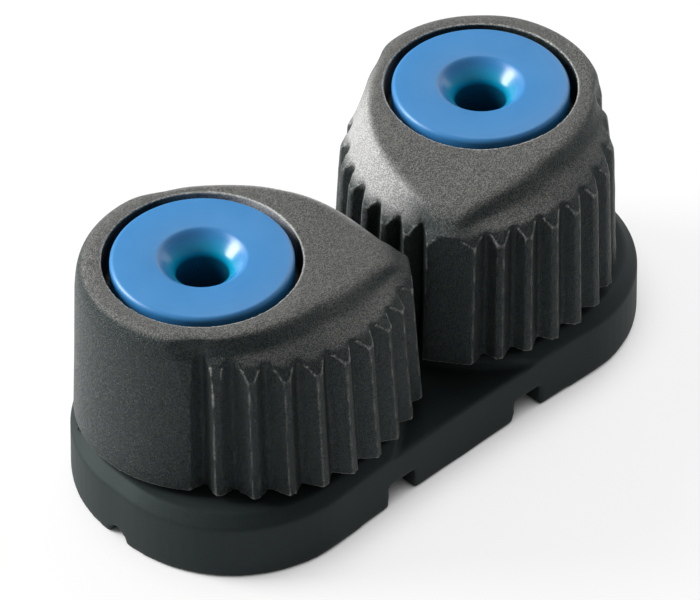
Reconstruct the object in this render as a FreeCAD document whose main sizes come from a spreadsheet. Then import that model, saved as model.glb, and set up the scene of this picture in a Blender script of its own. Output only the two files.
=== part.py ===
import FreeCAD, Part
import itertools
import math
import os
import Sketcher

# Twin cam cleat, medium size, for a sailing boat's deck.
#
# Two toothed cams stand side by side on one moulded base. Each cam turns on two rows of
# balls round a hollow post, and a torsion spring in the base keeps it closed against a stop.
# A blue cap with a countersunk hole sits on each post, keeps the cam down and takes the deck
# screw. A rope pulled towards -Y swings both lobes towards -Y and opens the gap. A load
# towards +Y draws the lobes together, and they bite.
#
# X runs from the left screw hole to the right one, -Y is the tail side, and Z is up.
# The origin is midway between the screw holes, on the base's bottom face.
# All lengths are in millimetres and all angles in degrees.

document = FreeCAD.newDocument("cam_cleat")
sheet = document.addObject("Spreadsheet::Sheet", "Sizes")
CLOSE = 0.001

SIZES = [
    ("screw_spacing", 38.0, "between the two screw holes, which are also the cams' pivots"),
    ("screw_hole", 5.2, "diameter, for a 5 mm deck screw"),
    ("plate_end", 14.05, "from each screw hole to the base's end"),
    ("plate_width", 31.8, "the base along Y, at its widest"),
    ("plate_shift", 2.1, "how far the base's middle lies in front of the screw line"),
    ("end_flat", 2.6, "straight stretch of the base's outline at each end"),
    ("waist_depth", 0.6, "how far each long side draws in, halfway between the cams"),
    ("wall_draft", 1.5, "lean of the base's outer wall, so that it leaves its mould"),
    ("pad_height", 7.5, "top of the two raised pads under the cams"),
    ("middle_height", 6.1, "top of the lower floor between the pads"),
    ("pad_bevel", 1.2, "bevelled outer edge of the pads"),
    ("pad_reach", 19.5, "radius of a pad's inner edge about its pivot"),
    ("step_bevel", 0.5, "bevelled edge of the step between pad and floor"),
    ("side_notch_offset", 8.8, "a side notch's middle from the base's middle"),
    ("side_notch_width", 3.6, "along X"),
    ("side_notch_height", 2.8, "above the deck"),
    ("side_notch_depth", 4.0, "into the base, from its waist"),
    ("end_notch_width", 2.1, "along Y"),
    ("end_notch_height", 1.6, "to the top of its round roof"),
    ("end_notch_depth", 2.4, "into the base, from its end"),
    ("core_length", 12.0, "each of the two hollows in the base's underside, along X"),
    ("core_width", 8.0, "each hollow along Y"),
    ("core_height", 3.6, "depth of the hollows"),
    ("core_rib", 2.0, "rib between the two hollows"),
    ("post_radius", 5.5, "outside of the hollow post, the balls' inner race"),
    ("shoulder_radius", 6.6, "the post's thicker foot, inside the spring"),
    ("cam_gap", 0.8, "between a pad's top and its cam"),
    ("cam_height", 18.6, "a cam, from its floor to its flat top"),
    ("rest_gap", 0.8, "left between the two cams' teeth at rest"),
    ("cam_travel", 60.0, "how far a cam opens"),
    ("back_radius", 13.1, "smooth round back of a cam, at its floor"),
    ("tail_spiral", 22.05, "radius of the tail flank's spiral, carried on to the lobe's axis"),
    ("rope_spiral", 21.05, "the same for the flank that grips the rope"),
    ("spiral_drop", 0.0885, "radius that a spiral loses with each degree"),
    ("wall_lean", 0.0036, "share of its radius that a cam's wall loses for each mm of height"),
    ("tail_teeth", 9.0, "crests on the tail flank"),
    ("rope_teeth", 8.0, "crests on the rope flank"),
    ("nose_radius", 21.45, "the two crests beside the smooth nose"),
    ("nose_tail", 7.4, "angle from the lobe's axis to the nose's edge on the tail side"),
    ("nose_rope", 4.2, "the same on the rope side"),
    ("tooth_pitch", 3.05, "from the first crest to the second, along the spiral"),
    ("pitch_growth", 0.06, "added to each next pitch"),
    ("crest_width", 0.75, "flat top of a tooth"),
    ("root_width", 0.3, "flat floor of a groove"),
    ("groove_depth", 1.25, "from crest to root"),
    ("last_groove", 11.8, "from the last crest to the smooth back"),
    ("brow_height", 13.4, "above the cam's floor, where the crests meet the roof"),
    ("brow_rise", 1.4, "from there to the roof's fold, under which it is less steep"),
    ("tail_fold", 1.15, "how far the roof has come in at the fold on the tail flank"),
    ("rope_fold", 0.85, "the same on the rope flank, which is nearly straight"),
    ("fold_nose", 0.4, "how much further it has come in at the nose"),
    ("fold_turn", 60.0, "angle from the lobe's axis at which that starts"),
    ("rim_radius", 11.45, "the flat top's outside, behind and beside the bore"),
    ("rope_rim", 19.2, "the flat top's reach along the lobe on the rope side, before the slope"),
    ("tail_rim", 16.0, "the same on the tail side"),
    ("rope_bend", 1.7, "how late that rim reaches out: 1 is even, 2 is late"),
    ("tail_bend", 2.0, "the same on the tail side"),
    ("rim_turn", 80.0, "angle from the lobe's axis at which the rims start to reach out"),
    ("flare_reach", 3.0, "how far the roof's eaves flare out at the nose"),
    ("flare_turn", 20.0, "angle from the lobe's axis at which they start to"),
    ("slope_start", 10.0, "from the pivot to the start of the lobe's sloping roof"),
    ("roof_slope", 12.5, "angle of that roof"),
    ("nose_start", 18.5, "from the pivot to where the roof turns down over the nose"),
    ("nose_slope", 38.0, "angle of the roof there"),
    ("rim_bevel", 0.7, "bevelled edge round the flat top, at the back"),
    ("cap_bore", 19.5, "diameter of the recess that the cap sits in"),
    ("cap_diameter", 17.94, "the blue cap"),
    ("cap_thickness", 4.0, "from its seat on the post to its top"),
    ("cap_proud", 0.2, "how far it stands above the cam's flat top"),
    ("cap_bevel", 0.6, "bevelled top edge"),
    ("cap_clearance", 0.3, "between a cap's underside and the cam's ledge"),
    ("sink_diameter", 8.7, "mouth of the countersink"),
    ("sink_depth", 1.85, "of the countersink"),
    ("spigot_radius", 3.9, "the cap's stem, inside the post"),
    ("spigot_length", 4.0, "of the stem"),
    ("spigot_clearance", 0.05, "round the stem and under it"),
    ("ball_diameter", 3.15, "every ball"),
    ("ball_count", 13.0, "balls in a row"),
    ("race_clearance", 0.05, "between a ball and each face that it rolls on"),
    ("race_height", 3.3, "of each of the two ball races"),
    ("web_clearance", 0.45, "between that web and the post"),
    ("shoulder_height", 4.1, "of the shoulder that carries the ring, above the pads"),
    ("ring_thickness", 1.0, "the ring that carries the lower balls"),
    ("ring_clearance", 0.35, "between that ring's outside and the cam"),
    ("ring_fit", 0.05, "between the ring's hole and the post"),
    ("spring_wire", 1.2, "diameter of the spring's wire"),
    ("spring_radius", 7.7, "of the coil, to the middle of the wire"),
    ("spring_pitch", 1.4, "rise of each turn"),
    ("spring_turns", 3.0, "whole turns, to which the part turn between the legs is added"),
    ("spring_leg", 7.0, "each straight leg"),
    ("spring_steps", 16.0, "straight stretches that a turn of the coil is drawn with"),
    ("spring_floor", 4.4, "bottom of the spring's groove in the base"),
    ("spring_clearance", 0.1, "between the spring's lowest point and that floor"),
    ("spring_room", 0.9, "between the coil and the groove's outer wall"),
    ("slot_clearance", 0.15, "each side of a spring leg, in its slot"),
    ("slot_end", 0.4, "past the end of a spring leg"),
    ("lug_radius", 11.5, "middle of the cam's stop lug, about the pivot"),
    ("lug_width", 1.6, "the lug, outwards"),
    ("lug_angle", 12.0, "the lug, round the pivot"),
    ("lug_drop", 1.9, "the lug, below the cam's floor"),
    ("track_clearance", 0.4, "beside and below the lug, in the base's track"),
    ("track_play", 1.5, "angle left at each end of the track"),
    ("overrun", 2.0, "how far a cutting shape reaches past the face that it opens"),
    ("reach", 60.0, "a length past everything, for shapes that only trim"),
]


def fill_sheet():
    """Write every driving size, its alias and its meaning into the sheet."""
    for number, (alias, value, meaning) in enumerate(SIZES, start=1):
        sheet.set(f"A{number}", alias)
        sheet.set(f"B{number}", str(value))
        sheet.set(f"C{number}", meaning)
        sheet.setAlias(f"B{number}", alias)
    document.recompute()


fill_sheet()


def size(alias):
    """The present value of one driving size."""
    return float(sheet.get(alias))


def bind(thing, **formulas):
    """Tie properties to formulas on the sheet. Two underscores stand for a dot."""
    for path, formula in formulas.items():
        thing.setExpression(path.replace("__", "."), formula)


def place(thing, x="0", y="0", z="0"):
    """Tie the place of a primitive to formulas."""
    bind(thing, Placement__Base__x=x, Placement__Base__y=y, Placement__Base__z=z)
    return thing


def cylinder(name, radius, height, x="0", y="0", z="0"):
    """A standing cylinder."""
    thing = document.addObject("Part::Cylinder", name)
    bind(thing, Radius=radius, Height=height)
    return place(thing, x, y, z)


def box(name, length, width, height, x, y, z):
    """A block with its lowest corner at x, y, z."""
    thing = document.addObject("Part::Box", name)
    bind(thing, Length=length, Width=width, Height=height)
    return place(thing, x, y, z)


def cut(name, base, tool):
    thing = document.addObject("Part::Cut", name)
    thing.Base = base
    thing.Tool = tool
    return thing


def fuse(name, things):
    thing = document.addObject("Part::MultiFuse", name)
    thing.Shapes = things
    return thing


def common(name, things):
    thing = document.addObject("Part::MultiCommon", name)
    thing.Shapes = things
    return thing


def bevel_edges(name, base, width, chosen):
    """Bevel those edges of a finished object that the function chosen picks."""
    document.recompute()
    thing = document.addObject("Part::Chamfer", name)
    thing.Base = base
    numbers = [n for n, edge in enumerate(base.Shape.Edges, start=1) if chosen(edge)]
    thing.Edges = [(n, width, width) for n in numbers]
    return thing


# Shared heights, radii and angles. Each cam's rope flank comes nearest to the other cam
# where its spiral runs along Y, and closed_angle turns the lobes until that leaves rest_gap.
LEVELS = [
    ("pivot", "Sizes.screw_spacing / 2"),
    ("cam_floor", "Sizes.pad_height + Sizes.cam_gap"),
    ("cam_top", "Levels.cam_floor + Sizes.cam_height"),
    ("cap_top", "Levels.cam_top + Sizes.cap_proud"),
    ("cap_seat", "Levels.cap_top - Sizes.cap_thickness"),
    ("ledge", "Levels.cap_seat - Sizes.cap_clearance"),
    ("upper_race", "Levels.ledge - Sizes.race_height"),
    ("ring_floor", "Sizes.pad_height + Sizes.shoulder_height"),
    ("ring_top", "Levels.ring_floor + Sizes.ring_thickness"),
    ("web_floor", "Levels.ring_top + Sizes.race_height"),
    ("ball_circle", "Sizes.post_radius + Sizes.race_clearance + Sizes.ball_diameter / 2"),
    ("ball_flat", "Sizes.ball_diameter / 2 / (1 + sqrt(2))"),
    ("outer_race", "sqrt((Levels.ball_circle + Sizes.ball_diameter / 2) ^ 2 + Levels.ball_flat ^ 2)"
                   " + Sizes.race_clearance"),
    ("ring_radius", "Levels.outer_race - Sizes.ring_clearance"),
    ("groove_radius", "Sizes.spring_radius + Sizes.spring_wire / 2 + Sizes.spring_room"),
    ("corner_radius", "(Sizes.plate_width - Sizes.end_flat) / 2"),
    ("corner_x", "Levels.pivot + Sizes.plate_end - Levels.corner_radius"),
    ("corner_y", "Sizes.end_flat / 2"),
    ("waist_radius", "(Levels.corner_x ^ 2 + Sizes.waist_depth ^ 2) / (2 * Sizes.waist_depth)"
                     " - Levels.corner_radius"),
    ("track_floor", "Levels.cam_floor - Sizes.lug_drop - Sizes.track_clearance"),
    ("spiral_slope", "Sizes.spiral_drop * 180 / pi"),
    ("meeting", "Levels.pivot - Sizes.rest_gap / 2"),
    ("meeting_radius", "sqrt((Levels.meeting ^ 2 + sqrt(Levels.meeting ^ 4"
                       " + (2 * Levels.meeting * Levels.spiral_slope) ^ 2)) / 2)"),
    ("closed_angle", "(Sizes.rope_spiral - Levels.meeting_radius) / Sizes.spiral_drop"
                     " + atan(Levels.spiral_slope / Levels.meeting_radius) / 1 deg"),
    ("wire_slope", "Sizes.spring_pitch / (2 * pi * Sizes.spring_radius)"),
    ("wire_start", "Sizes.spring_floor + Sizes.spring_clearance + Sizes.spring_wire / 2"
                   " + Sizes.spring_leg * Levels.wire_slope"),
]
levels = document.addObject("App::VarSet", "Levels")


def derive(name, formula):
    """Add one shared height or radius, worked out from the driving sizes."""
    levels.addProperty("App::PropertyFloat", name)
    levels.setExpression(name, formula)


for level_name, level_formula in LEVELS:
    derive(level_name, level_formula)
document.recompute()


def level(name):
    """The present value of one shared height or radius."""
    return float(getattr(levels, name))


def formula_value(formula):
    """What a formula gives with the present sizes."""
    return float(sheet.evalExpression(formula))


def turned(name, corners, angle="360"):
    """A solid turned about Z. Its corners are formulas for radius and height."""
    sketch = document.addObject("Sketcher::SketchObject", name + "_profile")
    sketch.Placement = FreeCAD.Placement(
        FreeCAD.Vector(), FreeCAD.Rotation(FreeCAD.Vector(1, 0, 0), 90))
    spots = [FreeCAD.Vector(formula_value(r), formula_value(z), 0) for r, z in corners]
    count = len(spots)
    for n in range(count):
        sketch.addGeometry(Part.LineSegment(spots[n], spots[(n + 1) % count]))
    for n in range(count):
        sketch.addConstraint(Sketcher.Constraint("Coincident", n, 2, (n + 1) % count, 1))
    for n, (radius, height) in enumerate(corners):
        across = sketch.addConstraint(Sketcher.Constraint("DistanceX", -1, 1, n, 1, spots[n].x))
        up = sketch.addConstraint(Sketcher.Constraint("DistanceY", -1, 1, n, 1, spots[n].y))
        sketch.setExpression(f"Constraints[{across}]", radius)
        sketch.setExpression(f"Constraints[{up}]", height)
    solid = document.addObject("Part::Revolution", name)
    solid.Source = sketch
    solid.Axis = FreeCAD.Vector(0, 0, 1)
    solid.Solid = True
    bind(solid, Angle=angle)
    return solid


def turn(thing, angle):
    """Tie a thing's turn about Z to a formula."""
    thing.Placement.Rotation.Axis = FreeCAD.Vector(0, 0, 1)
    bind(thing, Placement__Rotation__Angle=angle)
    return thing


def mirrored(name, source):
    """The same piece on the other side of the middle plane."""
    thing = document.addObject("Part::Mirroring", name)
    thing.Source = source
    thing.Normal = FreeCAD.Vector(1, 0, 0)
    return thing


def both_sides(name, source):
    """A shape together with its mirror image."""
    return [source, mirrored(name + "_mirrored", source)]


# The base. First the block that its walls come from.


def corner_arc(x_sign, y_sign, start, end):
    """One round corner of the base, between two angles."""
    centre = FreeCAD.Vector(x_sign * level("corner_x"), y_sign * level("corner_y"), 0)
    circle = Part.Circle(centre, FreeCAD.Vector(0, 0, 1), level("corner_radius"))
    return Part.ArcOfCircle(circle, math.radians(start), math.radians(end))


def waist_arc(y_sign, lean):
    """The hollow arc along one long side. It leans by this angle at each end."""
    radius = level("waist_radius")
    middle = size("plate_width") / 2 - size("waist_depth") + radius
    circle = Part.Circle(FreeCAD.Vector(0, y_sign * middle, 0), FreeCAD.Vector(0, 0, 1), radius)
    towards = -90 * y_sign
    return Part.ArcOfCircle(circle, math.radians(towards - lean), math.radians(towards + lean))


def end_line(x_sign):
    """The short straight stretch at one end of the base."""
    x = x_sign * (level("corner_x") + level("corner_radius"))
    first = FreeCAD.Vector(x, -x_sign * level("corner_y"), 0)
    return Part.LineSegment(first, FreeCAD.Vector(x, x_sign * level("corner_y"), 0))


def draw_outline(sketch):
    """Straight ends, four round corners and two hollow sides, in turn round the base."""
    middle = size("plate_width") / 2 - size("waist_depth") + level("waist_radius")
    lean = math.degrees(math.atan2(level("corner_x"), middle - level("corner_y")))
    sketch.addGeometry(end_line(1))
    sketch.addGeometry(corner_arc(1, 1, 0, 90 - lean))
    sketch.addGeometry(waist_arc(1, lean))
    sketch.addGeometry(corner_arc(-1, 1, 90 + lean, 180))
    sketch.addGeometry(end_line(-1))
    sketch.addGeometry(corner_arc(-1, -1, 180, 270 - lean))
    sketch.addGeometry(waist_arc(-1, lean))
    sketch.addGeometry(corner_arc(1, -1, 270 + lean, 360))


def tie_outline(sketch):
    """Hold the outline by its corner and waist radii and by the place of one corner."""
    joints = [(0, 2, 1, 1), (1, 2, 2, 2), (2, 1, 3, 1), (3, 2, 4, 1),
              (4, 2, 5, 1), (5, 2, 6, 2), (6, 1, 7, 1), (7, 2, 0, 1)]
    for joint in joints:
        sketch.addConstraint(Sketcher.Constraint("Tangent", *joint))
    for other in (3, 5, 7):
        sketch.addConstraint(Sketcher.Constraint("Equal", 1, other))
    sketch.addConstraint(Sketcher.Constraint("Equal", 2, 6))
    sketch.addConstraint(Sketcher.Constraint("Symmetric", 1, 3, 3, 3, -2))
    sketch.addConstraint(Sketcher.Constraint("Symmetric", 1, 3, 7, 3, -1))
    sketch.addConstraint(Sketcher.Constraint("Symmetric", 1, 3, 5, 3, -1, 1))
    tie(sketch, "Radius", (1, level("corner_radius")), "Levels.corner_radius")
    tie(sketch, "Radius", (2, level("waist_radius")), "Levels.waist_radius")
    tie(sketch, "DistanceX", (-1, 1, 1, 3, level("corner_x")), "Levels.corner_x")
    tie(sketch, "DistanceY", (-1, 1, 1, 3, level("corner_y")), "Levels.corner_y")


def tie(sketch, kind, terms, formula):
    """Add one measured constraint and tie it to a formula."""
    number = sketch.addConstraint(Sketcher.Constraint(kind, *terms))
    sketch.setExpression(f"Constraints[{number}]", formula)


def origin_plane(body, role):
    """One of a body's own origin planes or axes."""
    return next(f for f in body.Origin.OriginFeatures if f.Role == role)


def base_block():
    """The base's outer wall with its draft, and the bevelled edge of the pads."""
    body = document.addObject("PartDesign::Body", "base_block")
    sketch = body.newObject("Sketcher::SketchObject", "base_outline")
    sketch.AttachmentSupport = [(origin_plane(body, "XY_Plane"), "")]
    sketch.MapMode = "FlatFace"
    draw_outline(sketch)
    tie_outline(sketch)
    pad = body.newObject("PartDesign::Pad", "base_wall")
    pad.Profile = sketch
    bind(pad, Length="Sizes.pad_height", TaperAngle="-Sizes.wall_draft")
    document.recompute()
    bevel = body.newObject("PartDesign::Chamfer", "pad_edge")
    top = [f"Edge{n}" for n, edge in enumerate(pad.Shape.Edges, start=1)
           if edge.BoundBox.ZMin > size("pad_height") - CLOSE]
    bevel.Base = (pad, top)
    bind(bevel, Size="Sizes.pad_bevel")
    bind(body, Placement__Base__y="-Sizes.plate_shift")
    return body


def at_height(height):
    """A test for edges that lie level at this height."""
    def chosen(edge):
        return abs(edge.BoundBox.ZMin - height) + abs(edge.BoundBox.ZMax - height) < CLOSE
    return chosen


def pad_floors():
    """The two pads and the lower floor between them, as one trimming shape."""
    disc = cylinder("pad_disc", "Sizes.pad_reach", "Sizes.pad_height", "-Levels.pivot")
    pad = bevel_edges("pad_step", disc, size("step_bevel"), at_height(size("pad_height")))
    floor = box("middle_floor", "Sizes.reach * 2", "Sizes.reach * 2", "Sizes.middle_height",
                "-Sizes.reach", "-Sizes.reach", "0")
    return fuse("floors", [floor] + both_sides("pad_step", pad))


def side_notch(name, front):
    """A notch through the front or the back wall, open to the deck."""
    depth = "(Sizes.side_notch_depth + Sizes.waist_depth + Sizes.overrun)"
    wall = "(Sizes.plate_width / 2 + Sizes.overrun)"
    y = f"-Sizes.plate_shift - {wall}" if front else f"-Sizes.plate_shift + {wall} - {depth}"
    x = "-Sizes.side_notch_offset - Sizes.side_notch_width / 2"
    return box(name, "Sizes.side_notch_width", depth, "Sizes.side_notch_height", x, y, "0")


def end_notch():
    """A small notch with a round roof, through the base's end wall."""
    length = "Sizes.end_notch_depth + Sizes.overrun"
    x = "-Levels.pivot - Sizes.plate_end - Sizes.overrun"
    foot = box("end_notch_foot", length, "Sizes.end_notch_width",
               "Sizes.end_notch_height - Sizes.end_notch_width / 2",
               x, "-Sizes.plate_shift - Sizes.end_notch_width / 2", "0")
    roof = cylinder("end_notch_roof", "Sizes.end_notch_width / 2", length, x,
                    "-Sizes.plate_shift", "Sizes.end_notch_height - Sizes.end_notch_width / 2")
    roof.Placement.Rotation = FreeCAD.Rotation(FreeCAD.Vector(0, 1, 0), 90)
    return [foot, roof]


def stop_track():
    """The curved track that the left cam's stop lug runs in."""
    inner = "Sizes.lug_radius - Sizes.lug_width / 2 - Sizes.track_clearance"
    outer = "Sizes.lug_radius + Sizes.lug_width / 2 + Sizes.track_clearance"
    top = "Sizes.pad_height + Sizes.overrun"
    corners = [(inner, "Levels.track_floor"), (outer, "Levels.track_floor"),
               (outer, top), (inner, top)]
    span = "Sizes.cam_travel + Sizes.lug_angle + Sizes.track_play * 2"
    track = turned("stop_track", corners, span)
    start = "180 - Levels.closed_angle - Sizes.cam_travel - Sizes.lug_angle / 2 - Sizes.track_play"
    turn(track, start)
    return place(track, "-Levels.pivot")


def left_hollows():
    """All that is cut from the left half of the base."""
    well = cylinder("spring_well", "Levels.groove_radius", "Sizes.pad_height", "-Levels.pivot",
                    "0", "Sizes.spring_floor")
    hole = cylinder("screw_way", "Sizes.screw_hole / 2", "Sizes.pad_height", "-Levels.pivot")
    width = "Sizes.spring_wire + Sizes.slot_clearance * 2"
    slot = box("leg_slot", width, "Sizes.spring_leg + Sizes.slot_end", "Sizes.pad_height",
               "-Levels.pivot + Sizes.spring_radius - Sizes.spring_wire / 2"
               " - Sizes.slot_clearance", "0", "Sizes.spring_floor")
    core = box("core", "Sizes.core_length", "Sizes.core_width", "Sizes.core_height",
               "-Sizes.core_rib / 2 - Sizes.core_length",
               "-Sizes.plate_shift - Sizes.core_width / 2", "0")
    notches = [side_notch("front_notch", True), side_notch("back_notch", False)] + end_notch()
    return fuse("left_hollows", [well, hole, slot, core, stop_track()] + notches)


def left_post():
    """The hollow post that the left cam turns round, with its thicker foot."""
    hole = "Sizes.screw_hole / 2"
    socket = "Sizes.spigot_radius + Sizes.spigot_clearance"
    step = "Levels.cap_seat - Sizes.spigot_length - Sizes.spigot_clearance"
    corners = [(hole, "Sizes.spring_floor"), ("Sizes.shoulder_radius", "Sizes.spring_floor"),
               ("Sizes.shoulder_radius", "Levels.ring_floor"),
               ("Sizes.post_radius", "Levels.ring_floor"),
               ("Sizes.post_radius", "Levels.cap_seat"), (socket, "Levels.cap_seat"),
               (socket, step), (hole, step)]
    return place(turned("post", corners), "-Levels.pivot")


def make_base():
    """The moulded base with its two posts."""
    walls = common("base_walls", [base_block(), pad_floors()])
    hollows = fuse("hollows", both_sides("left_hollows", left_hollows()))
    plate = cut("plate", walls, hollows)
    return fuse("base", [plate] + both_sides("post", left_post()))


# The left cam, drawn about its own pivot with its lobe along +X. Angles are measured from
# the lobe's axis, and the rope flank lies towards +Y.

SIGN = {"rope": 1, "tail": -1}


def spot(radius, angle, height):
    """A point from its polar angle about the pivot."""
    turned_by = math.radians(angle)
    return FreeCAD.Vector(radius * math.cos(turned_by), radius * math.sin(turned_by), height)


def spiral(flank, angle):
    """Radius of a flank's crests at the cam's floor."""
    return size(flank + "_spiral") - size("spiral_drop") * angle


def shrink(height):
    """What share of its floor radius a drafted wall keeps at this height."""
    return 1 - size("wall_lean") * (height - level("cam_floor"))


def crest_angles(flank):
    """The middle of each crest, from the nose to the back."""
    angles = [size("nose_" + flank)]
    for tooth in range(int(size(flank + "_teeth")) - 1):
        pitch = size("tooth_pitch") + tooth * size("pitch_growth")
        guess = math.degrees(pitch / spiral(flank, angles[-1]))
        angles.append(angles[-1] + math.degrees(pitch / spiral(flank, angles[-1] + guess / 2)))
    return angles


def back_angle(flank):
    """Where the teeth end and the smooth back begins."""
    return crest_angles(flank)[-1] + size("last_groove")


def land(radius, angle, width):
    """The two edges of a crest or of a groove's floor."""
    half = math.degrees(width / 2 / radius)
    return [(radius, angle - half), (radius, angle + half)]


def flank_corners(flank):
    """Radius and angle of every corner from the nose to the back."""
    crests = crest_angles(flank)
    corners = land(size("nose_radius"), crests[0], size("crest_width"))
    for before, crest in zip(crests, crests[1:]):
        middle = (before + crest) / 2
        corners += land(spiral(flank, middle) - size("groove_depth"), middle, size("root_width"))
        corners += land(spiral(flank, crest), crest, size("crest_width"))
    last = (crests[-1] + back_angle(flank)) / 2
    corners += land(spiral(flank, last) - size("groove_depth"), last, size("root_width"))
    return corners + [(size("back_radius"), back_angle(flank))]


def cam_outline(height):
    """The toothed outline at one height, as a closed wire."""
    rope = [spot(r * shrink(height), a, height) for r, a in flank_corners("rope")]
    tail = [spot(r * shrink(height), -a, height) for r, a in flank_corners("tail")]
    corners = rope[::-1] + tail
    edges = [Part.makeLine(a, b) for a, b in zip(corners, corners[1:])]
    behind = spot(size("back_radius") * shrink(height), 180, height)
    edges.append(Part.Arc(tail[-1], behind, rope[-1]).toShape())
    return Part.Wire(edges)


def flare(angle):
    """How far the eaves stand out near the nose."""
    return size("flare_reach") * max(0, 1 - angle / size("flare_turn")) ** 4


def foot_line(flank, angle):
    """A line outside the cam, under its floor."""
    return spiral(flank, angle) + flare(angle) + size("overrun") / 2


def brow_line(flank, angle):
    """Where the crests meet the roof."""
    height = level("cam_floor") + size("brow_height")
    return spiral(flank, angle) * shrink(height) + flare(angle)


def fold_line(flank, angle):
    """The roof's fold above the brow. It runs out into the wall towards the back."""
    height = level("cam_floor") + size("brow_height") + size("brow_rise")
    deeper = size("fold_nose") * max(0, 1 - angle / size("fold_turn"))
    fade = 1 - (max(0, angle) / back_angle("tail")) ** 4
    inset = fade * (size(flank + "_fold") + deeper)
    return spiral(flank, angle) * shrink(height) - inset + flare(angle)


def rim_line(flank, angle):
    """The edge of the flat top."""
    share = max(0, 1 - angle / size("rim_turn")) ** size(flank + "_bend")
    return size("rim_radius") + (size(flank + "_rim") - size("rim_radius")) * share


def level_wire(flank, height, line):
    """One level line of a flank of the roof, carried far round the other side."""
    sign = SIGN[flank]
    angles = [back_angle("tail") * n / 12 for n in range(12, -1, -1)] + [-size("nose_rope")]
    points = [spot(line(flank, angle), sign * angle, height) for angle in angles]
    curve = Part.BSplineCurve()
    curve.interpolate(points)
    far = size("reach")
    others = [points[-1], FreeCAD.Vector(far, -sign * far, height),
              FreeCAD.Vector(-far, -sign * far, height),
              FreeCAD.Vector(-far, points[0].y, height), points[0]]
    lines = [Part.makeLine(a, b) for a, b in zip(others, others[1:])]
    return Part.Wire([curve.toShape()] + lines)


def shaped(name, shape):
    """A feature with a shape of its own."""
    thing = document.addObject("Part::Feature", name)
    thing.Shape = shape
    return thing


def roof_side(flank):
    """Everything under one flank of the roof, through its four level lines."""
    brow = level("cam_floor") + size("brow_height")
    wires = [level_wire(flank, level("cam_floor") - size("overrun"), foot_line),
             level_wire(flank, brow, brow_line),
             level_wire(flank, brow + size("brow_rise"), fold_line),
             level_wire(flank, level("cam_top"), rim_line)]
    return shaped(flank + "_roof", Part.makeLoft(wires, True, True))


def crown():
    """The round back's bevelled top edge. In front of the pivot it trims nothing."""
    cone = document.addObject("Part::Cone", "back_cone")
    bind(cone, Radius1="Sizes.back_radius + Sizes.overrun", Height="Sizes.cam_height",
         Radius2="Sizes.back_radius * (1 - Sizes.wall_lean * Sizes.cam_height)")
    place(cone, "0", "0", "Levels.cam_floor")
    edge = bevel_edges("back_edge", cone, size("rim_bevel"), at_height(level("cam_top")))
    front = box("lobe_room", "Sizes.reach", "Sizes.reach * 2", "Sizes.cam_height",
                "0", "-Sizes.reach", "Levels.cam_floor")
    return fuse("crown", [edge, front])


def sloping_cut(name, start, height, angle):
    """All that lies above a plane that falls along the lobe, from this point on."""
    above = box(name, "Sizes.reach", "Sizes.reach * 2", "Sizes.reach",
                start, "-Sizes.reach", height)
    above.Placement.Rotation.Axis = FreeCAD.Vector(0, 1, 0)
    bind(above, Placement__Rotation__Angle=angle)
    return above


def cam_body():
    """The toothed cam under its roof, still solid."""
    wires = [cam_outline(level("cam_floor")), cam_outline(level("cam_top"))]
    teeth = shaped("toothed_wall", Part.makeLoft(wires, True, True))
    body = common("cam_under_roof", [teeth, roof_side("rope"), roof_side("tail"), crown()])
    fall = "(Sizes.nose_start - Sizes.slope_start) * tan(Sizes.roof_slope * 1 deg)"
    slope = sloping_cut("lobe_slope", "Sizes.slope_start", "Levels.cam_top", "Sizes.roof_slope")
    nose = sloping_cut("nose_slope", "Sizes.nose_start", f"Levels.cam_top - {fall}",
                       "Sizes.nose_slope")
    return cut("cam_solid", body, fuse("slopes", [slope, nose]))


def bore(name, radius, low, high):
    """One step of the cam's bore."""
    return cylinder(name, radius, f"{high} - {low}", "0", "0", low)


def cam_hollows():
    """The cap's recess, two ball races, the web's hole, and the slot for the spring's leg."""
    recess = bore("cap_recess", "Sizes.cap_bore / 2", "Levels.ledge", "Sizes.reach")
    upper = bore("upper_ball_race", "Levels.outer_race", "Levels.upper_race", "Levels.ledge")
    web = bore("web_hole", "Sizes.post_radius + Sizes.web_clearance",
               "Levels.web_floor", "Levels.upper_race")
    lower = bore("lower_race_and_spring_room", "Levels.outer_race",
                 "Levels.cam_floor", "Levels.web_floor")
    width = "Sizes.spring_wire + Sizes.slot_clearance * 2"
    slot = box("cam_slot", "Sizes.spring_leg + Sizes.slot_end", width,
               "Levels.ring_floor - Levels.cam_floor", "-Sizes.spring_leg - Sizes.slot_end",
               "-Sizes.spring_radius - Sizes.spring_wire / 2 - Sizes.slot_clearance",
               "Levels.cam_floor")
    return fuse("cam_hollows", [recess, upper, web, lower, slot])


def stop_lug():
    """The lug under the cam's back that stops it at both ends of its travel."""
    inner = "Sizes.lug_radius - Sizes.lug_width / 2"
    outer = "Sizes.lug_radius + Sizes.lug_width / 2"
    low = "Levels.cam_floor - Sizes.lug_drop"
    high = "Levels.cam_floor + Sizes.overrun"
    corners = [(inner, low), (outer, low), (outer, high), (inner, high)]
    lug = turned("stop_lug", corners, "Sizes.lug_angle")
    return turn(lug, "180 - Sizes.lug_angle / 2")


def make_cam():
    """The left cam at rest, its lobe turned to the tail."""
    hollow = cut("bored_cam", cam_body(), cam_hollows())
    cam = fuse("cam_left", [hollow, stop_lug()])
    place(cam, "-Levels.pivot")
    return turn(cam, "-Levels.closed_angle")


# What turns and holds the left cam.


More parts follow.
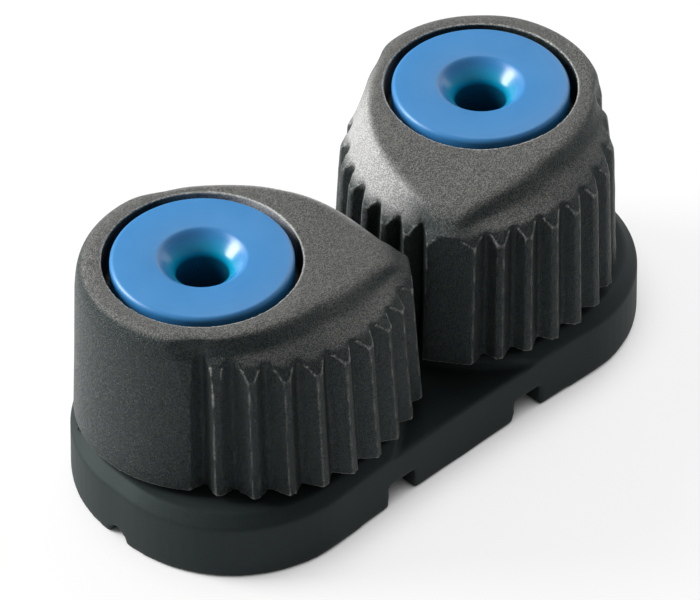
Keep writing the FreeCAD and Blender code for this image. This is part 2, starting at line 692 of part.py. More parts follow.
def make_cap():
    """The blue cap with its countersink and the stem that centres it in the post."""
    hole = "Sizes.screw_hole / 2"
    foot = "Levels.cap_seat - Sizes.spigot_length"
    sink = "Levels.cap_top - Sizes.sink_depth"
    lip = "Levels.cap_top - Sizes.sink_depth + Sizes.sink_diameter / 2 - Sizes.screw_hole / 2"
    corners = [(hole, foot), ("Sizes.spigot_radius", foot),
               ("Sizes.spigot_radius", "Levels.cap_seat"),
               ("Sizes.cap_diameter / 2", "Levels.cap_seat"),
               ("Sizes.cap_diameter / 2", "Levels.cap_top"),
               ("Sizes.sink_diameter / 2", "Levels.cap_top"),
               ("Sizes.sink_diameter / 2", lip), (hole, sink)]
    blank = turned("cap_blank", corners)
    outer = at_height(level("cap_top"))
    across = size("sink_diameter") + size("cap_bevel")

    def outer_top(edge):
        return outer(edge) and edge.BoundBox.XLength > across

    cap = bevel_edges("cap_left", blank, size("cap_bevel"), outer_top)
    return place(cap, "-Levels.pivot")


def make_ring():
    """The ring on the post's shoulder that carries the lower balls."""
    inner = "Sizes.post_radius + Sizes.ring_fit"
    corners = [(inner, "Levels.ring_floor"), ("Levels.ring_radius", "Levels.ring_floor"),
               ("Levels.ring_radius", "Levels.ring_top"), (inner, "Levels.ring_top")]
    return place(turned("ball_ring_left", corners), "-Levels.pivot")


def ball_faces():
    """A ball with 26 flat sides, each one ball radius from its middle. A row has many balls,
    so each is drawn with few faces."""
    radius = size("ball_diameter") / 2
    short = level("ball_flat")
    signs = list(itertools.product((-1, 1), repeat=3))
    spots = [FreeCAD.Vector(*(s * v for s, v in zip(sign, sides))) for sign in signs
             for sides in ((radius, short, short), (short, radius, short), (short, short, radius))]
    for way in itertools.product((-1, 0, 1), repeat=3):
        towards = FreeCAD.Vector(*way)
        if towards.Length > 0:
            yield ball_side(spots, towards)


def ball_side(spots, towards):
    """The flat side of a ball that faces one way, through the corners that lie farthest out."""
    farthest = max(spot.dot(towards) for spot in spots)
    corners = [spot for spot in spots if spot.dot(towards) > farthest - CLOSE]
    middle = sum(corners, FreeCAD.Vector()) / len(corners)
    first = corners[0] - middle
    second = towards.cross(first)
    corners.sort(key=lambda spot: math.atan2((spot - middle).dot(second),
                                             (spot - middle).dot(first) * towards.Length))
    return Part.Face(Part.makePolygon(corners + corners[:1]))


def make_balls(name, floor):
    """One full row of balls round the post, just clear of this level."""
    ball = Part.makeSolid(Part.makeShell(list(ball_faces())))
    ball.translate(FreeCAD.Vector(level("ball_circle"), 0, 0))
    count = int(size("ball_count"))
    row = []
    for number in range(count):
        row.append(ball.copy())
        row[-1].rotate(FreeCAD.Vector(), FreeCAD.Vector(0, 0, 1), 360 * number / count)
    balls = shaped(name, Part.makeCompound(row))
    height = f"{floor} + Sizes.race_clearance + Sizes.ball_diameter / 2"
    return place(balls, "-Levels.pivot", "0", height)


def coil_angle():
    """How far the coil runs, from the leg in the base to the leg in the cam."""
    return size("spring_turns") * 360 + level("closed_angle") + 90


def wire_section(point, along, outward):
    """The wire's six-sided section at one point of its line, flat on top and below."""
    upward = along.cross(outward).normalize()
    corner = size("spring_wire") / 2 / math.cos(math.radians(30))
    corners = []
    for side in range(6):
        turned_by = math.radians(60 * side)
        corners.append(point + outward * corner * math.cos(turned_by)
                       + upward * corner * math.sin(turned_by))
    return Part.makePolygon(corners + corners[:1])


def coil_sections():
    """Sections along leg, coil and leg. The coil winds clockwise as it rises."""
    steps = round(coil_angle() / 360 * size("spring_steps"))
    for step in range(steps + 1):
        angle = coil_angle() * step / steps
        rise = size("spring_pitch") * angle / 360
        point = spot(size("spring_radius"), -angle, level("wire_start") + rise)
        outward = spot(1, -angle, 0)
        along = spot(1, -angle - 90, level("wire_slope")).normalize()
        if step == 0:
            yield wire_section(point - along * size("spring_leg"), along, outward)
        yield wire_section(point, along, outward)
        if step == steps:
            yield wire_section(point + along * size("spring_leg"), along, outward)


def make_spring():
    """The torsion spring that closes the left cam."""
    spring = shaped("spring_left", Part.makeLoft(list(coil_sections()), True, True))
    return place(spring, "-Levels.pivot")


def make_pieces():
    """Every sub-part: the base, then the left side's pieces and their mirror images."""
    left = [make_cam(), make_cap(), make_spring(), make_ring(),
            make_balls("upper_balls_left", "Levels.upper_race"),
            make_balls("lower_balls_left", "Levels.ring_top")]
    right = [mirrored(piece.Label.replace("left", "right"), piece) for piece in left]
    return [make_base()] + left + right


def check_objects():
    """Stop if any object of the document failed to build."""
    for thing in document.Objects:
        wrong = {"Invalid", "Error"} & set(thing.State)
        if wrong:
            raise RuntimeError(f"{thing.Label} is {wrong}")


def export(piece):
    """Write one sub-part's file, once its shape is known to be sound."""
    if piece.Shape.isNull() or not piece.Shape.isValid():
        raise RuntimeError(f"{piece.Label} has no valid shape")
    piece.Shape.exportStep(f"parts/{piece.Label}.step")


pieces = make_pieces()
document.recompute()
check_objects()
os.makedirs("parts", exist_ok=True)
for piece in pieces:
    export(piece)
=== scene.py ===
# %% [markdown]
# # A twin cam cleat
# The frame holds the cleat's real pieces at their real size, in metres: a base, two toothed
# cams, two caps, and the springs, rings and balls inside. This script keeps their places and
# gives them the look of the real cleat: soft moulded edges, speckled nylon and glossy blue
# caps. Each cell makes or measures one thing, and the words before it say why.

# %% Load the frame
import math

import bpy
import numpy as np
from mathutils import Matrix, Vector


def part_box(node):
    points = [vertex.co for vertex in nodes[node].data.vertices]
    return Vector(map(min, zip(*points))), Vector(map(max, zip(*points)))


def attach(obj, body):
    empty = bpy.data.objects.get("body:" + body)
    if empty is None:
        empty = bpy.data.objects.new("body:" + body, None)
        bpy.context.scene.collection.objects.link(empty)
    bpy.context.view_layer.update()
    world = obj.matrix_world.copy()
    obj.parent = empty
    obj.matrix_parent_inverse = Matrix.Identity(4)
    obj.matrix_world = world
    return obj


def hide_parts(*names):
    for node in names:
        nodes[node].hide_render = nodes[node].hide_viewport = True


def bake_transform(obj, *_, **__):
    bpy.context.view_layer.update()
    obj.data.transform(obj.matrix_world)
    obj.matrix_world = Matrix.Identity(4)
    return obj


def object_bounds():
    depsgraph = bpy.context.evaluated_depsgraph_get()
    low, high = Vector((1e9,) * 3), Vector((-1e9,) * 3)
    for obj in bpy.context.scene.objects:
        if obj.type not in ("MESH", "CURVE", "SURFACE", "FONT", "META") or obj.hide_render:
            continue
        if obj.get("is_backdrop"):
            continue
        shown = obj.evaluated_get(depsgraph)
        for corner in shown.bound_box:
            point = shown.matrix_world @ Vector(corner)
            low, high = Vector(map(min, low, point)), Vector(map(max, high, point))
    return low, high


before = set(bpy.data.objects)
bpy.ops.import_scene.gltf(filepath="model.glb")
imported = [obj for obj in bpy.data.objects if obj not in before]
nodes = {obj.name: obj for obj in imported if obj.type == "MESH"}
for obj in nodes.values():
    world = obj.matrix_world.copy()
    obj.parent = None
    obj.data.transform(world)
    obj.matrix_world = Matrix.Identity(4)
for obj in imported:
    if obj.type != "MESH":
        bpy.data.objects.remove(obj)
MM = 0.001
cad_low, cad_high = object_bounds()
print("pieces in the frame:", sorted(nodes))

# %% [markdown]
# ## The camera
# A product photographer used a long lens, so lines that run away from the camera hardly meet.
# A camera is easiest to place from four facts: the point it looks at, the side it stands on,
# how high it looks down from, and how far off it is. The point is given from the middle of the
# cleat's top, as seen in the picture: so far to the right and so far down.

# %% Place the camera
AZIMUTH = math.radians(-43.87)
ELEVATION = math.radians(41.947)
DISTANCE = 480 * MM
LENS = 250.92
SENSOR = 36
AIM_RIGHT = 0.564 * MM
AIM_DOWN = 12.959 * MM

to_camera = Vector((math.sin(AZIMUTH) * math.cos(ELEVATION),
                    -math.cos(AZIMUTH) * math.cos(ELEVATION), math.sin(ELEVATION)))
picture_right = Vector((math.cos(AZIMUTH), math.sin(AZIMUTH), 0))
picture_up = to_camera.cross(picture_right)
looked_at = (Vector((0, 0, cad_high.z)) + picture_right * AIM_RIGHT
             - picture_up * AIM_DOWN)

bpy.ops.object.camera_add(location=looked_at + to_camera * DISTANCE)
camera = bpy.context.object
camera.rotation_euler = to_camera.to_track_quat("Z", "Y").to_euler()
camera.data.lens = LENS
camera.data.sensor_width = SENSOR
camera.data.clip_start = 10 * MM
bpy.context.scene.camera = camera
print("the camera stands", round(DISTANCE / MM), "mm away")

# %% [markdown]
# ## One piece at a time
# An operator works on whatever is selected, and the frame's nodes arrive selected. So every
# step starts by letting go of everything and picking its own piece. Modifiers are applied at
# once, because the next step reads or moves the points that they made.

# %% Select, modify and count
def only(piece):
    """Make this piece the one that is selected and active."""
    bpy.ops.object.select_all(action="DESELECT")
    piece.select_set(True)
    bpy.context.view_layer.objects.active = piece


def apply(piece, kind, **settings):
    """Add one modifier, set it, and apply it at once."""
    only(piece)
    modifier = piece.modifiers.new(kind.lower(), kind)
    for name, value in settings.items():
        setattr(modifier, name, value)
    bpy.ops.object.modifier_apply(modifier=modifier.name)


def triangles(piece):
    """How many triangles a piece has."""
    return sum(len(face.vertices) - 2 for face in piece.data.polygons)


print("the frame's base has", triangles(nodes["base"]), "triangles")

# %% [markdown]
# ## Copies that can be worked on
# A frame node's mesh comes in loose patches: where two faces meet at an edge, each has corners
# of its own. A smoothing would pull them apart. So a working copy is made, and its corners are
# merged wherever they lie in the same place. The node itself stays as it came.

# %% Copy a node and join its patches
SAME_PLACE = 0.001 * MM


def merged_copy(node, name):
    """A copy of a frame node with its loose patches joined, free of the node's marks."""
    piece = nodes[node].copy()
    piece.data = nodes[node].data.copy()
    piece.name = name
    piece.parent = None
    for key in list(piece.keys()):
        del piece[key]
    bpy.context.scene.collection.objects.link(piece)
    only(piece)
    bpy.ops.object.mode_set(mode="EDIT")
    bpy.ops.mesh.select_all(action="SELECT")
    bpy.ops.mesh.remove_doubles(threshold=SAME_PLACE)
    bpy.ops.object.mode_set(mode="OBJECT")
    return piece


moulded = {}
for node in ("cam_left", "cam_right", "base"):
    moulded[node] = merged_copy(node, node + "_moulding")
for node, piece in moulded.items():
    print(node, "has", len(nodes[node].data.vertices), "corners and", len(piece.data.vertices),
          "points")

# %% [markdown]
# ## Mouldings with soft edges
# The cams and the base were cast in steel moulds. Polished tools and shrinking plastic leave
# no edge sharp: crests, brows and rims all have a small radius. A bevel would stumble over the
# many short edges where teeth run into the roof. So each copy is turned into small even
# squares by a voxel remesh, and then smoothed a little. Every edge gets a radius of about a
# square and a half, and flat faces stay flat.

# %% Remesh and smooth the mouldings
CAM_SQUARE = 0.17 * MM
CAM_PASSES = 4
BASE_SQUARE = 0.2 * MM
BASE_PASSES = 5


def smooth(piece, passes, group=""):
    """Pull each point halfway towards its neighbours, as many times as there are passes."""
    apply(piece, "SMOOTH", factor=0.5, iterations=passes, vertex_group=group)


def soften(piece, square, passes):
    """Turn a piece into squares of this width, and smooth it."""
    apply(piece, "REMESH", mode="VOXEL", voxel_size=square, use_smooth_shade=True)
    smooth(piece, passes)
    print(piece.name, "has", triangles(piece), "triangles")
    return piece


cams = {side: soften(moulded["cam_" + side], CAM_SQUARE, CAM_PASSES) for side in ("left", "right")}
base = soften(moulded["base"], BASE_SQUARE, BASE_PASSES)

# %% [markdown]
# ## Points as arrays
# A moulding now has far too many points for a Python loop over each. Blender can hand them all
# to numpy at once, and one sum on the array then moves or weighs every point together. The most
# useful sum is a ramp: it goes from 0 to 1 between two places, so whatever it is used for has a
# soft border. A vertex group keeps such a weight for each point, and a smoothing follows it.

# %% Read, move and weigh points
WEIGHT_STEPS = 20


def triples(piece, kind):
    """Three numbers for each point of a piece: its place (co) or its direction (normal)."""
    found = np.empty(len(piece.data.vertices) * 3)
    piece.data.vertices.foreach_get(kind, found)
    return found.reshape(-1, 3)


def move_points(piece, where):
    """Put each point of a piece in its new place."""
    piece.data.vertices.foreach_set("co", where.ravel())
    piece.data.update()


def ramp(values, start, end):
    """From 0 at start to 1 at end, and level outside them. End may be the smaller one."""
    return np.clip((values - start) / (end - start), 0, 1)


def smooth_by_weight(piece, passes, weight):
    """Smooth a piece as strongly as each point's weight says, in twenty steps."""
    group = piece.vertex_groups.new(name="smoothed")
    for step in range(1, WEIGHT_STEPS + 1):
        chosen = np.nonzero(np.round(weight * WEIGHT_STEPS) == step)[0]
        group.add(chosen.tolist(), step / WEIGHT_STEPS, "REPLACE")
    smooth(piece, passes, group.name)
    piece.vertex_groups.clear()


print("the base's points reach up to", round(triples(base, "co")[:, 2].max() / MM, 2), "mm")

# %% [markdown]
# ## The base's foot
# The real base stands on a soft edge, and a voxel remesh leaves a sharp edge a little ragged.
# So the foot gets a smoothing of its own. It is strongest at the deck and fades out upwards.

# %% Round the foot
FOOT_HEIGHT = 1.2 * MM
FOOT_PASSES = 40

above_deck = triples(base, "co")[:, 2] - cad_low.z
smooth_by_weight(base, FOOT_PASSES, ramp(above_deck, FOOT_HEIGHT, 0.4 * FOOT_HEIGHT))
print("the foot's rounding starts", round(FOOT_HEIGHT / MM, 2), "mm above the deck")

# %% [markdown]
# ## Places on a cam
# A cam has directions of its own that are easier to think in than the frame's: how far a point
# is from the pivot, how far along the lobe towards the nose, and how far across it towards the
# rope. The nose is the point farthest from the pivot. The cams are mirror images, so across
# changes its sign with the side that the pivot is on, and the same sums then suit both.

# %% Find reach, along and across
PIVOTS = {"left": -19 * MM, "right": 19 * MM}


def lobe_places(piece, pivot_x):
    """Each point's place and reach from the pivot, along the lobe, and across it."""
    where = triples(piece, "co") - (pivot_x, 0, 0)
    reach = np.hypot(where[:, 0], where[:, 1])
    nose = where[np.argmax(reach)][:2] / reach.max()
    along = where[:, :2] @ nose
    across = (where[:, 1] * nose[0] - where[:, 0] * nose[1]) * -np.sign(pivot_x)
    return where, reach, along, across


for side, pivot_x in PIVOTS.items():
    farthest = lobe_places(cams[side], pivot_x)[1].max()
    print(side, "cam's nose is", round(farthest / MM, 2), "mm from its pivot")

# %% [markdown]
# ## Where the flat top ends
# The top is flat round the cap and slopes down towards the nose. The solid has a sharp line
# there, and the real roof bends slowly. Moving the skin's points down by a parabola gives just
# that: its two ends meet the flat and the slope without a corner.

# %% Ease the line where the slope starts
SLOPE = math.tan(math.radians(12.5))
SLOPE_START = 10 * MM
EASED_HALF = 3.5 * MM
cam_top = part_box("cam_left")[1].z
TOP_SKIN = (cam_top - 3 * MM, cam_top - 1.5 * MM)


def ease_slope(piece, pivot_x):
    """Turn the line where the flat top starts to slope into a long, shallow curve."""
    where, reach, along, across = lobe_places(piece, pivot_x)
    into = np.clip(along - SLOPE_START + EASED_HALF, 0, 2 * EASED_HALF)
    drop = SLOPE * (into ** 2 / (4 * EASED_HALF) - np.maximum(0, into - EASED_HALF))
    where[:, 2] -= drop * ramp(where[:, 2], *TOP_SKIN)
    move_points(piece, where + (pivot_x, 0, 0))


for side, pivot_x in PIVOTS.items():
    ease_slope(cams[side], pivot_x)
print("the eased stretch is", round(2 * EASED_HALF / MM, 1), "mm long")

# %% [markdown]
# ## The arches above the grooves
# Each groove between two teeth ends in an arch under the roof. On the side away from the rope
# the arches are higher than in the solids, most of all near the heel, and only a narrow ledge
# is left above them. So the upper end of the grooves is stretched upwards, and the roof above
# is pressed together by the same amount. The wall of the cap's recess is left out.

# %% Raise the arches
groove_tops = cam_top - 4.1 * MM
NOSE_LIFT = 0.9 * MM
HEEL_LIFT = 1.7 * MM
LIFT_GROWS = (8 * MM, 0)
ROPE_SIDE = (1 * MM, 5 * MM)
STRETCHED = 8 * MM
RIM_DEPTH = 0.6 * MM
LEAST_LEDGE = 2 * MM
LEDGE_SHARE = 0.7
CAP_GAP = 0.78 * MM
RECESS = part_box("cap_left")[1].x - PIVOTS["left"] + CAP_GAP
RECESS_WALL = (RECESS + 0.1 * MM, RECESS + 0.9 * MM)


def arch_tops(along, across):
    """The height at which the grooves end: higher on the side away from the rope."""
    lift = NOSE_LIFT + (HEEL_LIFT - NOSE_LIFT) * ramp(along, *LIFT_GROWS)
    return groove_tops + lift * (1 - ramp(across, *ROPE_SIDE))


def raise_arches(piece, pivot_x):
    """Stretch the grooves upwards and press the roof above them into a small ledge."""
    where, reach, along, across = lobe_places(piece, pivot_x)
    height = where[:, 2].copy()
    sloped = SLOPE * np.maximum(0, along - SLOPE_START)
    ledge = LEDGE_SHARE * np.maximum(LEAST_LEDGE, cam_top - RIM_DEPTH - sloped - groove_tops)
    share = ramp(height, groove_tops - STRETCHED, groove_tops)
    share -= ramp(height - groove_tops, 0, ledge)
    share *= ramp(reach, *RECESS_WALL)
    where[:, 2] += (arch_tops(along, across) - groove_tops) * share
    move_points(piece, where + (pivot_x, 0, 0))


for side, pivot_x in PIVOTS.items():
    raise_arches(cams[side], pivot_x)
print("the recess round a cap is", round(RECESS / MM, 2), "mm in radius")

# %% [markdown]
# ## The roof's long folds
# The roof folds along two lines that run from the flat top to the nose. On the real cam these
# folds are much rounder than the teeth, because the mould was rubbed smooth there by hand. The
# fold beside the rope is the roundest, about 3 mm in radius. A second, much longer smoothing
# does this. Its weight is 0 in the grooves and at the recess, whose lip stays crisp, and less
# than 1 away from the rope, so one group holds both folds.

# %% Soften the folds
ROOF_PASSES = 260
ROOF_ABOVE = (-0.3 * MM, 0.9 * MM)
LIP_KEPT = (RECESS + 0.25 * MM, RECESS + 1.3 * MM)
ROPE_FOLD = (-1 * MM, 3 * MM)
FAR_FOLD = 0.35


def soften_folds(piece, pivot_x):
    """Round the folds of the roof, but not the lip round the cap."""
    where, reach, along, across = lobe_places(piece, pivot_x)
    weight = ramp(where[:, 2] - arch_tops(along, across), *ROOF_ABOVE)
    weight *= ramp(reach, *LIP_KEPT)
    weight *= FAR_FOLD + (1 - FAR_FOLD) * ramp(across, *ROPE_FOLD)
    smooth_by_weight(piece, ROOF_PASSES, weight)
    return np.count_nonzero(weight > 0.5 / WEIGHT_STEPS)


for side, pivot_x in PIVOTS.items():
    print(side, "cam: smoothed", soften_folds(cams[side], pivot_x), "points of its roof")

# %% [markdown]
# ## Crests, grooves and tops
# Crests and rims look paler, partly from wear and partly from a painted edge highlight, and the
# grooves get painted shade. What faces up gets painted top light. A painter could draw that by
# hand, but the mesh itself can say which is which. If a copy is smoothed strongly, a crest's
# points sink in and a groove's points rise: how far each point moved against its own normal is
# its relief. How far the copy's normal points up is its facing. Both are stored as attributes,
# which the materials read.

# %% Store how far each point stands out and how far it faces up
def store(piece, name, values):
    """Keep one number for each point as an attribute."""
    piece.data.attributes.new(name, "FLOAT", "POINT").data.foreach_set("value", values)


def store_relief(piece, passes, full):
    """Attribute relief: 0.5 on flats, 1 on crests and 0 in grooves. Attribute facing: 1 is up."""
    copy = piece.copy()
    copy.data = piece.data.copy()
    bpy.context.scene.collection.objects.link(copy)
    smooth(copy, passes)
    moved = triples(piece, "co") - triples(copy, "co")
    height = (moved * triples(piece, "normal")).sum(axis=1)
    store(piece, "relief", 0.5 + 0.5 * np.clip(height / full, -1, 1))
    store(piece, "facing", np.clip(triples(copy, "normal")[:, 2], 0, 1))
    bpy.data.objects.remove(copy)
    print(piece.name, "has a relief of", round(height.min() / MM, 3), "to",
          round(height.max() / MM, 3), "mm")


for cam in cams.values():
    store_relief(cam, passes=8, full=0.05 * MM)
store_relief(base, passes=20, full=0.2 * MM)

# %% [markdown]
# ## Where a highlight and top light are painted
# A painted highlight runs along the roof's fold beside the rope, from the heel to just short of
# the nose. The painted top light is weaker on the steep nose than elsewhere. These two can't be
# read from the mesh's form, so they come from places on the cam. They stay with the cam when it
# turns, because they are kept on its points.

# %% Store where the cams get a painted highlight and painted top light
FOLD_HEIGHT = (-0.8 * MM, 0.6 * MM)
FOLD_TILT = (0.03, 0.16)
SHEEN_HEEL = (-3 * MM, 6 * MM)
SHEEN_NOSE = (20 * MM, 15 * MM)
SHEEN_SIDE = (1 * MM, 4 * MM)
STEEP_NOSE = (17 * MM, 19.5 * MM)
TOP_LIGHT_LOST = 0.75


def store_painted_light(piece, pivot_x):
    """Two attributes: where a painted highlight lies on the rope's fold, and a share of painted
    top light: 1, and less on the nose.
    """
    where, reach, along, across = lobe_places(piece, pivot_x)
    above = ramp(where[:, 2] - arch_tops(along, across), *FOLD_HEIGHT)
    tilted = ramp(1 - triples(piece, "normal")[:, 2], *FOLD_TILT)
    stretch = ramp(along, *SHEEN_HEEL) * ramp(along, *SHEEN_NOSE)
    # A painted highlight along the fold beside the rope.
    painted_sheen = above * tilted * stretch * ramp(across, *SHEEN_SIDE)
    store(piece, "painted_sheen", painted_sheen)
    # Painted top light: full, and less on the steep nose.
    store(piece, "top_light_share", 1 - TOP_LIGHT_LOST * ramp(along, *STEEP_NOSE))
    return painted_sheen


for side, pivot_x in PIVOTS.items():
    print(side, "cam: rubbed on", np.count_nonzero(store_painted_light(cams[side], pivot_x)), "points")

# %% [markdown]
# ## Fewer triangles on the flats
# Small even squares are needed at the edges only. A decimation joins them where the surface
# is nearly flat, and it carries the stored attributes along. Then each moulding takes the place
# of its node and is told which body it rides on, so the cams swing and the base stays.

# %% Thin the mouldings out and let them ride
MOST_TRIANGLES = 180000

for piece in (cams["left"], cams["right"], base):
    had = triangles(piece)
    apply(piece, "DECIMATE", ratio=MOST_TRIANGLES / had)
    print(piece.name, "had", had, "triangles and keeps", triangles(piece))
for side, cam in cams.items():
    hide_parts("cam_" + side)
    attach(cam, "cam_" + side)
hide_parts("base")
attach(base, "base")

# %% [markdown]
# ## Choosing faces and edges
# Work in edit mode goes as by hand: choose some faces or edges, then use an operator on them.
# A script has no eyes, so it chooses by place and direction. The choice is made on the mesh in
# object mode, and edit mode then takes it over.

# %% Pick faces and edges by a test
UPRIGHT = 0.9


def pick(piece, elements, test):
    """In edit mode, select just the polygons or the edges that pass the test."""
    bpy.ops.mesh.select_all(action="DESELECT")
    bpy.ops.object.mode_set(mode="OBJECT")
    for element in getattr(piece.data, elements):
        element.select = test(element)
    bpy.ops.object.mode_set(mode="EDIT")


print("faces of the left cap's node that look up:",
      sum(face.normal.z > UPRIGHT for face in nodes["cap_left"].data.polygons))

# %% [markdown]
# ## The blue caps
# Each cap is a turned-looking disc with a stem below and a funnel for the screw's head. It
# starts as a cylinder. The top face is inset to the funnel's mouth and then pushed down in
# short steps, each a little narrower, so that the funnel is a smooth curve and not a cone.
# FUNNEL gives each step's radius and depth in millimetres. The stem is an inset and a pull on
# the lower face.

# %% Sink the funnel and pull the stem
CAP_RADIUS = 8.97 * MM
STEM_RADIUS = 3.9 * MM
HOLE_RADIUS = 2.6 * MM
FUNNEL = [(4.62, 0.0), (4.45, 0.03), (4.28, 0.11), (4.08, 0.28), (3.84, 0.52), (3.56, 0.8),
          (3.27, 1.08), (3.02, 1.34), (2.83, 1.58), (2.7, 1.82), (2.62, 2.1), (2.6, 2.4)]


def sink_funnel(cap, x, top):
    """Inset the top face and push it down along the funnel's radii and depths."""
    profile = [(radius * MM, depth * MM) for radius, depth in FUNNEL]
    pick(cap, "polygons", lambda face: face.normal.z > UPRIGHT)
    bpy.ops.mesh.inset(thickness=CAP_RADIUS - profile[0][0])
    for before, after in zip(profile, profile[1:]):
        bpy.ops.mesh.extrude_region_move(
            TRANSFORM_OT_translate={"value": (0, 0, before[1] - after[1])})
        share = after[0] / before[0]
        bpy.ops.transform.resize(value=(share, share, 1), center_override=(x, 0, top))


def pull_stem(cap, drop):
    """Inset the lower face, pull the stem down, and inset its end to the hole."""
    pick(cap, "polygons", lambda face: face.normal.z < -UPRIGHT)
    bpy.ops.mesh.inset(thickness=CAP_RADIUS - STEM_RADIUS)
    bpy.ops.mesh.extrude_region_move(TRANSFORM_OT_translate={"value": (0, 0, drop)})
    bpy.ops.mesh.inset(thickness=STEM_RADIUS - HOLE_RADIUS)


print("the funnel is", FUNNEL[-1][1], "mm deep in", len(FUNNEL) - 1, "steps")

# %% [markdown]
# ## The cap's hole and rim
# Two round flat faces are left in the middle: the funnel's floor and the stem's end. A bridge
# takes both away and joins their edges, which makes the hole. A bevel rounds the rim of the
# disc, as on the real cap.

# %% Open the hole and round the rim
MIDDLE = 0.1 * MM
NEAR = 0.01 * MM
RIM_RADIUS = 0.5 * MM


def open_hole(cap, x):
    """Bridge the two flat faces in the middle, which makes the hole between them."""
    pick(cap, "polygons", lambda face: abs(face.normal.z) > UPRIGHT
         and math.hypot(face.center.x - x, face.center.y) < MIDDLE)
    bpy.ops.mesh.bridge_edge_loops()


def round_rim(cap, x, top):
    """Bevel the edge of the disc's flat top."""
    def on_rim(point):
        outside = math.hypot(point.x - x, point.y) > CAP_RADIUS - NEAR
        return outside and point.z > top - NEAR

    points = cap.data.vertices
    bpy.ops.mesh.select_mode(type="EDGE")
    pick(cap, "edges", lambda edge: all(on_rim(points[n].co) for n in edge.vertices))
    bpy.ops.mesh.bevel(offset=RIM_RADIUS, segments=5, profile=0.5)


print("the rim's radius is", round(RIM_RADIUS / MM, 2), "mm")

# %% [markdown]
# ## From a cylinder to a cap
# The four steps run in turn on one cylinder that stands where the node's disc is. A cap sits
# fast on its post, so it rides on the base although the cam turns round it. The funnel gets
# painted shade, so how deep each of its points lies is stored for the material.

# %% Make both caps
STEM_LENGTH = 4 * MM
DEEP = (0.15 * MM, 2.6 * MM)


def store_depth(cap, x, top):
    """Attribute deep: from 0 at the funnel's mouth to 1 far down the hole, and 0 outside."""
    where = triples(cap, "co")
    in_hole = np.hypot(where[:, 0] - x, where[:, 1]) < FUNNEL[0][0] * MM * 1.001
    store(cap, "deep", ramp(top - where[:, 2], *DEEP) * in_hole.astype(float))


def make_cap(side, x):
    """A cap on its post, with its funnel, rounded rim, stem and hole."""
    low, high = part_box("cap_" + side)
    seat = low.z + STEM_LENGTH
    bpy.ops.mesh.primitive_cylinder_add(vertices=128, radius=CAP_RADIUS, depth=high.z - seat,
                                        location=(x, 0, (high.z + seat) / 2))
    cap = bpy.context.object
    cap.name = f"cap_{side}_disc"
    bpy.ops.object.transform_apply(location=True, rotation=True, scale=True)
    bpy.ops.object.mode_set(mode="EDIT")
    bpy.ops.mesh.select_mode(type="FACE")
    sink_funnel(cap, x, high.z)
    pull_stem(cap, low.z - seat)
    open_hole(cap, x)
    round_rim(cap, x, high.z)
    bpy.ops.mesh.select_all(action="SELECT")
    bpy.ops.mesh.normals_make_consistent(inside=False)
    bpy.ops.object.mode_set(mode="OBJECT")
    only(cap)
    bpy.ops.object.shade_smooth_by_angle(angle=math.radians(35))
    store_depth(cap, x, high.z)
    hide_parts("cap_" + side)
    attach(cap, "base")
    return cap


caps = {side: make_cap(side, x) for side, x in PIVOTS.items()}
for side, cap in caps.items():
    print(side, "cap:", triangles(cap), "triangles")

# %% [markdown]
# ## The springs
# A torsion spring closes each cam. Its lower leg lies in a slot of the base and its upper leg in
# a slot of the cam, so the coil between them winds up as the cam opens. A rigid spring would cut
# through the cam. Here each spring is a merged copy of its node, with its place written into its
# points; it is not attached to the base or the cam.

# %% Copy the springs
LEG_HEIGHT = 1.5 * MM
springs = {}
for side, pivot_x in PIVOTS.items():
    springs[side] = merged_copy("spring_" + side, f"spring_{side}_wire")
    low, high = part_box("spring_" + side)
    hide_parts("spring_" + side)
    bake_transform(springs[side], "base", "cam_" + side,
             start=(pivot_x, 0, low.z + LEG_HEIGHT), end=(pivot_x, 0, high.z - LEG_HEIGHT))
    print(side, "spring:", triangles(springs[side]), "triangles")

# %% [markdown]
# ## Shader sums as Python sums
# A material is a net of nodes, and most of them only do arithmetic. A small class that stands
# for one socket lets Python's own signs add those Math nodes, so a pattern reads like a
# formula. It has the turned-round forms too, so that 1 - mask works as well as mask - 1.

# %% A class for sockets
class Signal:
    """A number that changes over the surface: the output socket of a node."""

    def __init__(self, finish, socket):
        self.finish = finish
        self.socket = socket

    def operate(self, operation, *values):
        """The result of a Math node on these values."""
        return self.finish.node("ShaderNodeMath", {"operation": operation}, values)

    def __add__(self, other):
        return self.operate("ADD", self, other)

    def __sub__(self, other):
        return self.operate("SUBTRACT", self, other)

    def __rsub__(self, other):
        return self.operate("SUBTRACT", other, self)

    def __mul__(self, other):
        return self.operate("MULTIPLY", self, other)

    def larger(self, other):
        """The larger one of two numbers."""
        return self.operate("MAXIMUM", self, other)

    __radd__ = __add__
    __rmul__ = __mul__


print("a signal knows", sum(name.startswith("__r") for name in vars(Signal)), "turned-round forms")

# %% [markdown]
# ## One shader for every finish
# Nylon, bearing plastic, steel and paper can all be one Principled shader with other numbers.
# What is the same all over is set on the shader's own socket. What changes over the surface is
# a signal that is linked to it. One method makes every kind of node, in a fixed order: its
# type, then its settings, then its inputs.

# %% A class for finishes, and a way to dress a piece
class Finish:
    """A material on a Principled shader, and the nodes that feed it."""

    def __init__(self, name, **constants):
        self.material = bpy.data.materials.new(name)
        self.material.use_nodes = True
        self.net = self.material.node_tree
        self.shader = self.net.nodes["Principled BSDF"]
        for socket, value in constants.items():
            self.shader.inputs[socket.replace("_", " ")].default_value = value

    def put(self, socket, value):
        """Set an input to a plain value, or link a signal to it."""
        if isinstance(value, Signal):
            self.net.links.new(value.socket, socket)
        else:
            socket.default_value = value

    def node(self, kind, settings, values, output=0):
        """Any node: its type, its settings, then its inputs by place or by name."""
        made = self.net.nodes.new(kind)
        for name, value in settings.items():
            setattr(made, name, value)
        named = values.items() if isinstance(values, dict) else enumerate(values)
        for key, value in named:
            self.put(made.inputs[key], value)
        return Signal(self, made.outputs[output])

    def feed(self, socket, value):
        """Link a signal to one of the shader's own sockets."""
        self.put(self.shader.inputs[socket], value)


